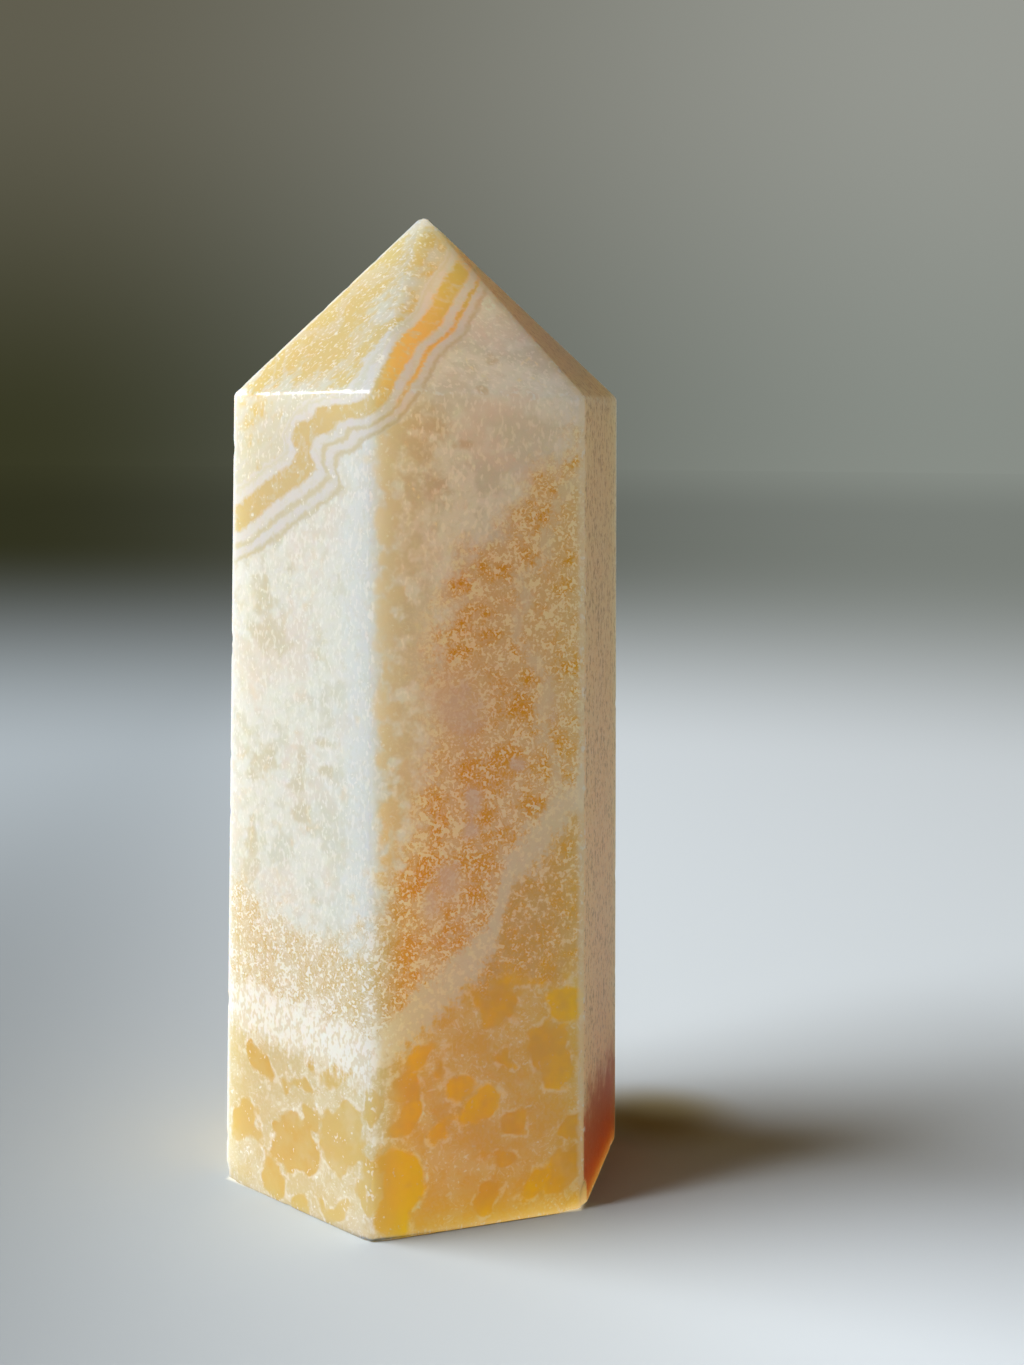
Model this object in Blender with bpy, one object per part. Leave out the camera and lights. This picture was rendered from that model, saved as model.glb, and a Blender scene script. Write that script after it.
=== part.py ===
"""An orange calcite tower: one polished stone point with six sides and six facets.

The stone was cut by hand, so its six corners stand at slightly different radii and angles.
It narrows a little from the base to the shoulder, where the sides give way to six facets
that all meet at one point. Every edge is eased, the faces have a faint crown from the
polishing lap, and the very tip is worn round. Metres, +Z up, origin under the middle of
the box around the stone.
"""

import math

import bmesh
import bpy
from mathutils import Vector

MILLIMETRE = 0.001

# Where the facets would meet, above the surface and beside the axis, before the tip wore
POINT_HEIGHT = 90.35
POINT_OFFSET = (-0.58, 0.21)

# Corners anticlockwise from the left, seen from above: angle from the front (-Y) towards
# +X in degrees, radius in millimetres
BASE_CORNERS = ((-95.2, 19.75), (-33.4, 20.85), (27.4, 19.6), (85.1, 19.65), (145.0, 19.8), (205.0, 19.7))
SHOULDER_CORNERS = ((-95.1, 18.3), (-34.2, 19.75), (27.4, 18.5), (85.0, 18.6), (145.2, 18.6), (205.0, 18.5))
SHOULDER_HEIGHTS = (73.7, 73.7, 73.5, 73.9, 73.9, 73.8)

# Finish of the cut stone, in millimetres
EDGE_EASE = 0.25
TIP_EASE = 1.1
TIP_DOME = 0.03
FACE_CROWN = 0.16

# How finely the curves are drawn
EASE_STEPS = (0.0, 0.5, 1.0)
FACE_STEPS = (0.25, 0.5, 0.75)
TIP_STEPS = (0.0, 0.2, 0.35)

STONE_COLOUR = (0.62, 0.40, 0.17, 1.0)
STONE_ROUGHNESS = 0.22


def clear_scene():
    for thing in list(bpy.data.objects):
        bpy.data.objects.remove(thing, do_unlink=True)


def corner(angle, radius, height):
    """A corner at this angle from the front, radius and height."""
    turn = math.radians(angle)
    return Vector((radius * math.sin(turn), -radius * math.cos(turn), height))


def eased(before, turn, after, length, step):
    """A point on the curve that rounds the turn between two straight runs.

    The curve leaves the first run and joins the second at the given length from the turn,
    and bends between them as a quadratic curve whose middle point is the turn itself.
    """
    start = turn + (before - turn).normalized() * length
    end = turn + (after - turn).normalized() * length
    return start.lerp(turn, step).lerp(turn.lerp(end, step), step)


def bulge(step):
    """How much of the crown shows at this step across a face: none at its edges."""
    return 4 * step * (1 - step)


def levels():
    """Each level of the stone from the base up, as its six corners and its share of the crown."""
    base = [corner(angle, radius, 0.0) for angle, radius in BASE_CORNERS]
    shoulder = [
        corner(angle, radius, height)
        for (angle, radius), height in zip(SHOULDER_CORNERS, SHOULDER_HEIGHTS)
    ]
    point = Vector((*POINT_OFFSET, POINT_HEIGHT))
    under = Vector((0.0, 0.0, 0.0))
    for step in EASE_STEPS:
        yield [eased(under, low, high, EDGE_EASE, step) for low, high in zip(base, shoulder)], 0.0
    for step in FACE_STEPS:
        yield [low.lerp(high, step) for low, high in zip(base, shoulder)], bulge(step)
    for step in EASE_STEPS:
        yield [eased(low, high, point, EDGE_EASE, step) for low, high in zip(base, shoulder)], 0.0
    for step in FACE_STEPS:
        yield [high.lerp(point, step) for high in shoulder], bulge(step)
    for step in TIP_STEPS:
        yield [worn_tip(high, point, step) for high in shoulder], 0.0


def worn_tip(shoulder, point, step):
    """A point on the dome that the worn tip makes, from the facet's edge at step 0.

    It draws in evenly towards the axis, which it meets at step 0.5, and its drop below
    the ideal point shrinks as 1 - 2 step (1 - step), which leaves half of it at the axis.
    """
    start = (shoulder - point).normalized() * TIP_EASE
    drop = start.z * (1 - 2 * step * (1 - step))
    return point + Vector((start.x * (1 - 2 * step), start.y * (1 - 2 * step), drop))


def section(corners, crown_share):
    """The outline of one level: six sides with a faint crown, and eased corners between."""
    outline = []
    count = len(corners)
    side = min((corners[i] - corners[i - 1]).length for i in range(count))
    ease = min(EDGE_EASE, side / 4)
    for i, turn in enumerate(corners):
        before, after, beyond = corners[i - 1], corners[(i + 1) % count], corners[(i + 2) % count]
        outline += [eased(before, turn, after, ease, step) for step in EASE_STEPS]
        start, end = outline[-1], eased(turn, after, beyond, ease, 0.0)
        outward = Vector((end.y - start.y, start.x - end.x, 0.0)).normalized()
        lift = outward * FACE_CROWN * crown_share
        outline += [start.lerp(end, step) + lift * bulge(step) for step in FACE_STEPS]
    return outline


def box_middle(places):
    """The middle of the box around these places, seen from above."""
    across = [place.x for place in places]
    along = [place.y for place in places]
    return Vector(((min(across) + max(across)) / 2, (min(along) + max(along)) / 2, 0.0))


def stone_mesh():
    """Joins the sections level by level, with a flat face below and one point on top."""
    rings = [section(corners, share) for corners, share in levels()]
    top = Vector((*POINT_OFFSET, max(place.z for place in rings[-1]) + TIP_DOME))
    shift = box_middle([place for ring in rings for place in ring])
    shape = bmesh.new()
    grid = [[shape.verts.new((place - shift) * MILLIMETRE) for place in ring] for ring in rings]
    summit = shape.verts.new((top - shift) * MILLIMETRE)
    shape.faces.new(reversed(grid[0]))
    for low, high in zip(grid, grid[1:]):
        for i in range(len(low)):
            shape.faces.new((low[i - 1], low[i], high[i], high[i - 1]))
    for i in range(len(grid[-1])):
        shape.faces.new((grid[-1][i - 1], grid[-1][i], summit))
    mesh = bpy.data.meshes.new("calcite_tower")
    shape.to_mesh(mesh)
    shape.free()
    return mesh


def stone_material():
    material = bpy.data.materials.new("Polished orange calcite")
    material.use_nodes = True
    shader = material.node_tree.nodes["Principled BSDF"]
    shader.inputs["Base Color"].default_value = STONE_COLOUR
    shader.inputs["Roughness"].default_value = STONE_ROUGHNESS
    shader.inputs["Metallic"].default_value = 0.0
    material.diffuse_color = STONE_COLOUR
    return material


def main():
    clear_scene()
    mesh = stone_mesh()
    mesh.materials.append(stone_material())
    tower = bpy.data.objects.new("calcite_tower", mesh)
    bpy.context.scene.collection.objects.link(tower)


main()
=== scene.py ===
"""The looks of an orange calcite tower: its polished surface, its bands, veins and crystal
grain, and the plain stage that it stands on.

The stone is one closed surface worked out with numpy. Its marks are fields of places in the
stone, so that they run on from face to face as they do in a cut stone.
"""

import math

import bpy
import numpy as np
from bpy.props import FloatProperty, FloatVectorProperty, PointerProperty
from mathutils import Matrix, Vector


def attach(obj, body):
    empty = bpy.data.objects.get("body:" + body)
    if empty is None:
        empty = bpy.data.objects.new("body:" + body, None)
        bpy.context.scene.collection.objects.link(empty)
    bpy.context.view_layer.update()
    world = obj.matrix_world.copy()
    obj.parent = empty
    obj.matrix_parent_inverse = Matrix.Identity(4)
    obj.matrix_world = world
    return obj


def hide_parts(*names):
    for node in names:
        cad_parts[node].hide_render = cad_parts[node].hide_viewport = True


bl_info = {
    "name": "Orange calcite tower",
    "version": (1, 0, 0),
    "blender": (4, 5, 0),
    "location": "3D View > Sidebar > Calcite",
    "description": "Builds a polished orange calcite tower and the stage that it stands on",
    "category": "Add Mesh",
}

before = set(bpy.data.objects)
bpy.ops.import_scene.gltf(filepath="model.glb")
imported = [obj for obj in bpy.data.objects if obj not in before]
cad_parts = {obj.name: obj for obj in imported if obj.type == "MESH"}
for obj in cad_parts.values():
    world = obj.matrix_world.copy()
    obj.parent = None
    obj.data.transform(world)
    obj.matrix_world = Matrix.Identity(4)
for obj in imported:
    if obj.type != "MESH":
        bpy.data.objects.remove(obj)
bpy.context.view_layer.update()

MILLIMETRE = 0.001
NODE = "calcite_tower"

# How the stone's surface takes the light
GLOSS_ROUGHNESS = 0.12
DULL_ROUGHNESS = 0.4
GLOSS = 0.35
CALCITE_IOR = 1.55
LIGHT_REACH = 0.022
LIGHT_REACH_SHARES = (1.0, 0.75, 0.5)
RELIEF_DEPTH = 0.00008

# Rows of points over the rounded edge at the shoulder, and the last step of the six lines over
# the tip, just short of the place where they meet
KNEE_ROWS = 9
LAST_TIP_STEP = 0.45

# Where the front lies along y, in millimetres, and how far its healed cracks reach back from it:
# farther with each millimetre up the facets, which lean back from the shoulder
FRONT_DEPTH = -17.3
CRACK_REACH = 3.0
FACET_LEAN = 1.2
FACET_START = 72.0

# On the other sides, behind this depth and this far behind the lit side, more crystals and
# patches lie at seeded random places: how many, their half sizes and their depths of colour
OTHER_SIDES_FROM = -15.0
LIT_SIDE_MARGIN = 1.0
MORE_CRYSTALS = 60
MORE_CRYSTAL_SIZES = (1.0, 2.8)
MORE_PATCHES = 90
MORE_PATCH_SIZES = (0.6, 1.4)
MORE_DEPTHS = (0.2, 1.0)
CRYSTAL_SEED = 11
PATCH_SEED = 12
NICK_SEED = 5

# The crystals' outlines bend in waves of this size and this many turns in a millimetre
CRYSTAL_BEND = 0.7
CRYSTAL_WAVES = 0.9

# The floor, in metres: its radius, its gap under the stone, and what is added to the distance
# from the stone before its reciprocal gives the nearness
FLOOR_RADIUS = 6.0
FLOOR_GAP = 0.00002
FLOOR_NEAR = 0.18

# Where the stage's tones change over: from side to side, from the floor to the backdrop by
# nearness, round the stone's foot, and round the darkest part of the stone's shade, which lies
# this far aside from the stone's axis and behind it
SIDE_FADE = (-0.22, 0.3)
FLOOR_FADE = (2.35, 0.68)
FOOT_FADE = (0.0173, 0.0167)
SHADE_FADE = (0.0115, 0.002)
SHADE_PLACE = (0.024, 0.011)

# The camera's lens and sensor in millimetres, the nearest that it sees in metres, and the
# middle of the stone, where the soft light is aimed
LENS = 50
SENSOR_WIDTH = 36
NEAREST_SEEN = 0.01
WINDOW_AIM = (0.0, 0.0, 0.045)

# Corners anticlockwise from the left, seen from above: angle from the front (-Y) towards
# +X in degrees, radius in millimetres
BASE_CORNERS = ((-95.2, 19.75), (-33.4, 20.85), (27.4, 19.6), (85.1, 19.65), (145.0, 19.8), (205.0, 19.7))
SHOULDER_CORNERS = ((-95.1, 18.3), (-34.2, 19.75), (27.4, 18.5), (85.0, 18.6), (145.2, 18.6), (205.0, 18.5))
SHOULDER_HEIGHTS = (73.7, 73.7, 73.5, 73.9, 73.9, 73.8)
POINT = (-0.58, 0.21, 90.35)

# Growth bands: a sheet of the stone lies where height + BAND_SLOPE . (x, y) is the same. Seen along
# the bands, the sheets rise and fall together by these heights at these places, in millimetres,
# and the folds lean over from one level, within a range of levels below and above it.
BAND_SLOPE = (-1.19, 0.0)
BAND_TURN = math.radians(-12)
BAND_LEAN_LEVEL = 53.0
BAND_LEAN_RANGE = (-2, 4)
BAND_WIGGLE = (
    (-22.0, 0.2), (-17.0, -0.9), (-15.3, -0.75), (-14.0, -0.55), (-12.6, -0.5), (-11.3, -0.5),
    (-10.6, -0.1), (-9.9, 1.5), (-9.0, 2.6), (-8.0, 2.1), (-7.0, 1.4), (-6.0, 0.8), (-5.0, 0.65),
    (-4.0, 0.9), (-3.0, 0.7), (-2.0, 0.6), (-1.0, 0.05), (0.6, -1.0), (2.2, -0.9), (4.0, -1.4),
    (8.0, -0.4), (12.0, 0.6), (18.0, -0.3),
)

# The broad milky vein lies on the sheet height = VEIN_HEIGHT + VEIN_SLOPE . (x, y) + its wiggle
VEIN_HEIGHT = 38.3
VEIN_SLOPE = (1.13, 0.55)
VEIN_TURN = math.radians(25.7)
VEIN_WIGGLE = (
    (-19, -0.4), (-17.4, 0.7), (-16.3, 0.1), (-14.2, -0.5), (-11.3, -1.7), (-8.9, -2.1), (-7.4, -1.9),
    (-6.7, 0.3), (-5.9, 1.4), (-3.9, 1.4), (-1.8, 1.0), (0.3, 0.2), (5, -0.6), (10, 0.8), (16, -0.4),
)
VEIN_HALF_WIDTH = 1.2

# The bands across the growth sheets, from the white mass up into the cream
BAND_LOW, BAND_HIGH = 51.6, 56.5
BAND_STOPS = (
    (51.70, "white"), (51.95, "tan"), (52.05, "tan"), (52.30, "white"), (52.65, "white"),
    (52.85, "thin"), (53.00, "thin"), (53.25, "white"), (53.70, "white"), (54.00, "orange"),
    (55.20, "orange"), (55.50, "white"), (55.80, "white"), (56.05, "cream"), (56.25, "white"),
    (56.40, "cream"),
)

# The thin ragged vein on the front, as places across and up it
THIN_VEIN = (
    (9.4, 67.6), (8.4, 67.0), (6.9, 65.8), (6.1, 63.9), (5.1, 61.2), (5.0, 59.9), (4.5, 58.9),
    (2.7, 58.2), (2.3, 57.4), (3.0, 56.8), (2.9, 55.6), (2.1, 54.5), (2.3, 52.6), (3.2, 51.4),
    (4.3, 50.2), (5.0, 49.1), (4.7, 47.3), (4.3, 45.4), (5.0, 43.8), (5.8, 41.8), (6.4, 39.0),
)
THIN_VEIN_HALF_WIDTH = 0.42
THIN_VEIN_LEAN = (0.3, 0.1)

# The upper edge of the granular part, as places across and up the front
GRANULAR_EDGE = (
    (-20.0, 30.0), (-17.6, 28.7), (-16.2, 27.0), (-13.0, 26.2), (-11.2, 28.0), (-10.9, 30.1),
    (-10.0, 31.3), (-8.6, 33.9), (-7.4, 37.4), (-6.4, 41.4), (-6.0, 51.0), (-5.4, 53.7), (-4.6, 56.5),
    (-2.8, 60.7), (-0.3, 62.1), (2.0, 64.6), (3.4, 66.8), (6.2, 68.5), (8.5, 71.1), (12.0, 75.0),
    (20.0, 77.0),
)

# Clear amber crystals cut through at the foot: place, half width, half height, depth of colour
AMBER_CRYSTALS = (
    (-0.1, -17.3, 21.3, 2.0, 3.0, 0.55), (-6.9, -17.4, 16.4, 1.3, 1.1, 0.75),
    (-5.0, -17.4, 15.1, 0.8, 1.4, 0.55), (-2.8, -17.4, 13.2, 1.5, 1.2, 0.80),
    (-0.8, -17.5, 11.2, 1.8, 1.8, 1.00), (1.0, -17.4, 15.2, 1.0, 0.9, 0.60),
    (5.3, -17.4, 15.5, 2.4, 3.1, 0.55), (7.3, -17.4, 19.3, 1.9, 2.0, 1.00),
    (4.2, -17.6, 3.1, 1.4, 1.5, 0.85), (7.4, -17.6, 4.2, 2.0, 2.3, 0.45),
    (7.8, -17.5, 8.0, 1.5, 1.5, 0.40), (-8.3, -17.5, 4.6, 2.1, 4.2, 1.30),
    (-8.3, -17.4, 13.8, 1.4, 1.3, 0.35), (-8.0, -17.5, 10.6, 1.3, 1.6, 0.60),
    (-4.9, -17.5, 9.4, 0.9, 1.1, 0.85), (-0.6, -17.6, 2.7, 1.1, 1.7, 0.30),
    (1.3, -17.5, 6.0, 1.3, 0.5, 0.30), (1.6, -17.5, 9.1, 1.4, 1.1, 0.45),
    (6.2, -17.3, 23.5, 2.1, 2.2, 0.70), (2.9, -17.3, 23.3, 1.1, 1.6, 0.60),
    (7.7, -17.2, 29.3, 1.3, 2.6, 0.50), (6.1, -17.2, 29.7, 1.5, 1.2, 0.45),
    (2.7, -17.2, 28.3, 0.9, 1.2, 0.50), (4.5, -17.3, 26.0, 1.9, 1.0, 0.35),
    (-17.5, -3.0, 12.8, 2.4, 1.4, 0.60), (-13.2, -13.1, 13.7, 2.4, 1.1, 0.40),
    (-15.6, -7.6, 6.2, 3.3, 2.9, 0.55), (-16.8, -5.0, 2.1, 2.1, 2.3, 0.60),
    (-12.9, -14.0, 8.2, 2.7, 3.2, 0.25), (-14.5, -10.2, 9.4, 1.1, 1.0, 0.20),
    (-15.2, -8.8, 0.9, 1.2, 0.9, 0.50), (-13.0, -13.8, 1.6, 1.9, 0.9, 0.15),
    (-11.5, -17.5, 4.4, 2.0, 2.5, 0.35), (-11.3, -17.6, 11.9, 1.3, 2.4, 0.15),
    (-15.4, -7.9, 11.9, 1.6, 0.8, 0.25), (-18.3, -1.4, 6.6, 2.4, 1.9, 0.20),
)

# Orange patches of the granular part on the front: across, up, half width, half height
ORANGE_PATCHES = (
    (5.8, 68.8, 0.8, 0.5), (7.5, 68.0, 0.8, 0.5), (5.2, 65.9, 1.1, 1.0), (4.2, 63.2, 1.7, 1.0),
    (5.0, 62.1, 0.8, 0.4), (3.8, 61.9, 0.6, 0.5), (2.5, 60.4, 0.7, 0.6), (3.9, 59.5, 1.1, 1.0),
    (0.9, 58.4, 0.8, 0.8), (7.3, 59.5, 0.8, 0.7), (-2.5, 57.3, 1.2, 0.5), (-0.5, 58.1, 0.7, 0.6),
    (-1.9, 55.3, 0.8, 0.6), (-0.6, 54.8, 0.7, 0.6), (7.1, 56.8, 1.1, 0.7), (-3.1, 53.5, 1.2, 0.7),
    (0.3, 53.1, 0.9, 0.7), (-5.1, 53.4, 0.8, 0.7), (-3.1, 51.6, 0.9, 0.7), (2.3, 51.6, 0.8, 0.7),
    (3.8, 49.8, 0.9, 0.4), (3.5, 48.9, 0.9, 0.4), (7.8, 50.1, 1.0, 0.7), (2.9, 46.5, 1.1, 1.0),
    (3.7, 45.6, 0.6, 0.5), (2.6, 44.3, 0.9, 0.4), (8.0, 45.2, 0.8, 0.4), (5.8, 42.6, 1.2, 0.8),
    (5.8, 41.0, 1.0, 0.7), (7.2, 40.0, 0.9, 0.4), (1.4, 42.2, 1.1, 1.1), (-0.5, 41.4, 0.9, 0.8),
    (-2.8, 41.0, 0.9, 0.6), (-1.6, 39.9, 0.8, 0.5), (3.8, 37.8, 1.1, 0.6), (-0.7, 37.1, 0.6, 0.5),
    (-4.8, 36.2, 0.8, 1.0), (-5.9, 33.7, 1.3, 0.4), (-6.5, 32.6, 0.6, 0.6), (-2.1, 33.2, 1.2, 1.0),
    (-6.0, 38.9, 0.7, 0.9), (-8.8, 32.3, 0.8, 0.7), (-7.6, 31.2, 1.1, 0.7), (-8.4, 29.0, 0.8, 0.7),
    (-1.9, 30.2, 0.9, 0.9), (-3.9, 28.8, 0.4, 0.4), (-4.3, 27.5, 0.4, 0.4), (-7.2, 23.8, 0.4, 0.4),
    (-8.4, 21.2, 0.9, 0.6), (-8.3, 25.0, 0.8, 0.6),
)

# Milky pink clots in the granular part on the front: across, up, half width, half height
MILKY_CLOTS = (
    (-3.5, 46.9, 3.0, 3.6), (2.3, 41.6, 0.9, 0.8), (-1.9, 38.7, 0.9, 1.6), (-2.2, 36.0, 0.9, 0.9),
    (-4.0, 31.7, 1.3, 2.2), (-5.9, 29.7, 1.1, 1.8), (5.5, 47.1, 0.8, 2.2),
)

# Clearer tan patches in the white on the left side: place, half width, half height
TAN_PATCHES = (
    (-15.4, -6.7, 58.3, 0.8, 0.6), (-17.1, -2.9, 55.9, 1.7, 1.5), (-16.4, -4.5, 51.8, 2.3, 1.8),
    (-17.1, -3.4, 40.7, 1.8, 1.8), (-14.8, -8.7, 41.6, 0.8, 2.2), (-15.2, -7.7, 39.2, 1.1, 0.5),
    (-13.6, -11.5, 43.4, 1.5, 0.5), (-13.5, -11.6, 41.1, 0.8, 0.5), (-14.8, -8.6, 36.6, 1.0, 1.1),
    (-17.8, -1.8, 32.3, 0.9, 2.8), (-14.5, -10.0, 19.2, 1.1, 0.9), (-13.5, -12.2, 24.8, 0.8, 0.5),
    (-14.5, -9.8, 24.6, 1.4, 0.7), (-16.4, -5.2, 26.0, 2.1, 0.8),
)

# Smoky windows in the white on the front: place, half width, half height
SMOKY_PATCHES = (
    (-6.6, -17.2, 70.2, 2.2, 3.2), (-5.5, -17.2, 66.0, 1.4, 1.6), (1.0, -14.5, 77.0, 1.3, 0.8),
    (-1.0, -16.3, 74.0, 0.8, 0.5), (-2.8, -17.2, 69.3, 1.2, 0.6),
)

# Healed cracks on the front, as places across and up it
HEALED_CRACKS = (
    ((3.0, 21.6), (5.0, 20.3), (7.0, 18.8), (9.0, 17.0)),
    ((-2.0, 20.8), (-1.4, 19.0), (0.7, 17.4), (1.9, 16.2), (2.7, 14.9), (4.1, 12.8), (5.4, 11.0)),
    ((-11.0, 15.1), (-10.3, 13.2), (-9.9, 11.0), (-10.5, 8.8), (-11.0, 7.0)),
    ((0.1, 14.5), (1.2, 13.7)),
    ((-2.6, 78.4), (-1.7, 77.4), (-1.3, 76.0), (-0.4, 75.2), (0.6, 74.6)),
    ((3.4, 76.2), (4.6, 76.9), (5.4, 76.1), (6.0, 74.9)), ((2.6, 74.8), (4.0, 75.3), (5.2, 74.4)),
    ((-10.7, 69.1), (-9.6, 68.0), (-8.6, 66.7), (-7.3, 65.6), (-6.1, 63.9), (-5.1, 62.3)),
    ((-6.4, 8.3), (-6.2, 5.4), (-6.4, 1.0)),
)

# Chips in the edges: place, reach and depth, in millimetres
CHIPS = (
    (9.0, -17.6, 0.9, 1.9, 0.55), (8.0, -17.6, 0.2, 1.2, 0.35), (-18.0, -0.3, 73.6, 1.4, 0.25),
    (-16.6, -3.5, 73.8, 0.6, 0.12), (-18.2, -0.3, 58.3, 0.7, 0.12), (-18.5, 0.4, 51.5, 0.6, 0.10),
    (-19.2, 1.1, 17.5, 0.8, 0.15), (-11.3, -17.8, 0.9, 1.5, 0.30), (-19.5, 1.2, 0.4, 1.3, 0.30),
)
NICK_COUNT = 70
NICK_REACH = (0.3, 0.75)
NICK_DEPTH = (0.03, 0.12)


def length_setting(name, description, default):
    return FloatProperty(name=name, description=description, default=default, unit="LENGTH")


def turn_setting(name, description, default):
    return FloatProperty(name=name, description=description, default=default, unit="ROTATION")


def colour_setting(name, description, default):
    return FloatVectorProperty(name=name, description=description, default=default, subtype="COLOR")


class StoneSizes(bpy.types.PropertyGroup):
    """Sizes of the cut stone."""

    edge_ease: length_setting("Edge ease", "How far the rounding of an edge reaches from it", 0.00025)
    shoulder_ease: length_setting(
        "Shoulder ease", "How far the rounding of the shoulder's edge reaches from it", 0.00034,
    )
    tip_ease: length_setting("Tip ease", "How far down each ridge the worn tip reaches", 0.0011)
    crown: length_setting(
        "Face crown", "How far the middle of a side stands proud of its edges", 0.00016,
    )


class StoneColours(bpy.types.PropertyGroup):
    """Colours of the stone."""

    milk: colour_setting("Milky white", "The white mass", (0.69, 0.705, 0.66))
    milk_clear: colour_setting(
        "Clearer white", "Clearer greyish patches in the white", (0.61, 0.62, 0.54),
    )
    milk_pink: colour_setting("Pinkish white", "Pinkish clouds in the white", (0.68, 0.645, 0.585))
    # Partly painted light: a bluish whiter strip of the stone, which also stands in for a painted highlight
    # of the front corner
    frost_and_sheen: colour_setting(
        "Frosted white", "The bluish white strip along the front corner of the lit side", (0.66, 0.7, 0.69),
    )
    # Also used for painted highlights: the rim light on the lit side's back edge and the sheen that goes
    # with the worn edges
    bright: colour_setting(
        "Bright white", "The whitest grain, specks and worn edges", (0.82, 0.82, 0.78),
    )
    smoke: colour_setting(
        "Smoky clear", "Clear brownish windows in the white on the front", (0.6, 0.52, 0.36),
    )
    cream: colour_setting("Cream", "The granular cream above the bands", (0.6, 0.595, 0.5))
    honey: colour_setting("Honey", "Deeper patches in the cream", (0.62, 0.5, 0.24))
    # Painted light: the orange band and the tan band are one band twice, painted for the shaded front,
    # warmer as if lit by light come through the stone, and for the lit side
    band_orange: colour_setting(
        "Orange band", "The orange growth bands on the front", (0.81, 0.53, 0.19),
    )
    band_tan: colour_setting("Tan band", "The same bands on the lit side", (0.585, 0.48, 0.26))
    band_white: colour_setting("White band", "The white growth bands", (0.63, 0.63, 0.62))
    tan: colour_setting("Tan", "Clearer tan patches in the white", (0.575, 0.54, 0.4))
    # Painted light: each colour below that has a lit copy is one colour twice, the plain one painted for
    # the shaded front, warmer as if lit by light come through the stone, and the lit one for the lit side
    ground: colour_setting(
        "Granular ground", "Between the orange grains of the front", (0.8, 0.585, 0.29),
    )
    ground_lit: colour_setting("Granular ground, lit", "The same on the lit side", (0.66, 0.58, 0.42))
    orange: colour_setting("Orange grains", "The orange grains of the front", (0.8, 0.42, 0.025))
    orange_lit: colour_setting("Orange grains, lit", "The same on the lit side", (0.6, 0.46, 0.22))
    needle: colour_setting(
        "Pale needles", "The pale needles and borders between the grains of the front", (0.94, 0.83, 0.56),
    )
    clot: colour_setting("Pink clots", "Milky pink clots in the granular part", (0.76, 0.6, 0.44))
    vein: colour_setting("Veins", "The milky veins on the front", (0.8, 0.7, 0.49))
    foot: colour_setting("Foot", "Between the amber crystals of the front", (0.8, 0.51, 0.09))
    foot_lit: colour_setting("Foot, lit", "The same on the lit side", (0.61, 0.51, 0.29))
    amber: colour_setting("Amber", "The paler amber crystals of the front", (0.79, 0.47, 0.05))
    amber_lit: colour_setting("Amber, lit", "The same on the lit side", (0.615, 0.455, 0.17))
    amber_deep: colour_setting(
        "Deep amber", "The deepest amber crystals of the front", (0.95, 0.585, 0),
    )
    amber_deep_lit: colour_setting("Deep amber, lit", "The same on the lit side", (0.61, 0.385, 0.09))
    wall: colour_setting(
        "Crystal walls", "The pale walls around the crystals of the front", (0.83, 0.63, 0.27),
    )
    wall_lit: colour_setting("Crystal walls, lit", "The same on the lit side", (0.68, 0.62, 0.45))
    rose: colour_setting("Rose", "The right side, between its specks", (0.76, 0.565, 0.285))
    rose_low: colour_setting(
        "Rose, lower down", "The lower right side, between its specks", (0.82, 0.55, 0.25),
    )
    rose_speck: colour_setting(
        "Rose specks", "The darker specks on the right side", (0.44, 0.25, 0.1),
    )
    # Painted light: the foot's deep amber, darkened and reddened as if lit by light come through the whole
    # foot to the side away from the light
    painted_foot_glow: colour_setting(
        "Ember", "The deep amber of the foot away from the light side", (0.46, 0.08, 0),
    )
    # Painted light: a glow on the front beside the lit side, where light comes through the corner of the
    # stone
    strip: colour_setting(
        "Golden strip", "The white of the front beside the lit side", (0.74, 0.64, 0.45),
    )
    brown: colour_setting(
        "Brown ground", "The ground at the top of the foot, on the front", (0.72, 0.445, 0.11),
    )
    # Painted light: a tint that stands in for the warm light come through the stone, laid over the sides
    # away from the light
    painted_through_light_tint: colour_setting(
        "Warmth inside", "What the stone's depth does to its whites away from the light side",
        (1.23, 1.12, 1.03),
    )


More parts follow.
